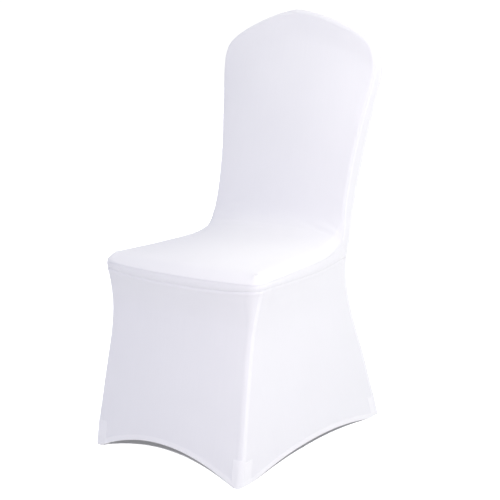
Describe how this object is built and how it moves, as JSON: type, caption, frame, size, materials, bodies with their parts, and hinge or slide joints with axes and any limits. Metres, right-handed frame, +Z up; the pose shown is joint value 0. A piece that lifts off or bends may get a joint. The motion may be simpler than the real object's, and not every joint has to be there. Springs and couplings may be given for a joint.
{
  "type": "stretch chair cover",
  "caption": "Fitted stretch-knit cover for a crown-back banquet chair, with a seat band, a backrest band, an arched hem and foot pockets.",
  "frame": {"origin": "middle of the footprint on the floor, under the middle of the bounding box", "axes": "+Z up from the floor, the chair faces -Y, +X to the right seen from the front camera's azimuth 0, and the cover is mirror symmetric about x = 0"},
  "size_m": [0.455, 0.5366, 0.9365],
  "materials": {
    "knit": "fine white stretch knit with a soft sheen",
    "pocket_cloth": "doubled, denser white knit, matt"
  },
  "bodies": {
    "root": {"inner_panel": "knit", "back_band": "knit", "seat_band": "knit", "front_skirt": "knit", "left_skirt": "knit", "right_skirt": "knit", "outer_back": "knit", "foot_pocket_front_left": "pocket_cloth", "foot_pocket_front_right": "pocket_cloth", "foot_pocket_rear_left": "pocket_cloth", "foot_pocket_rear_right": "pocket_cloth"}
  },
  "joints": []
}
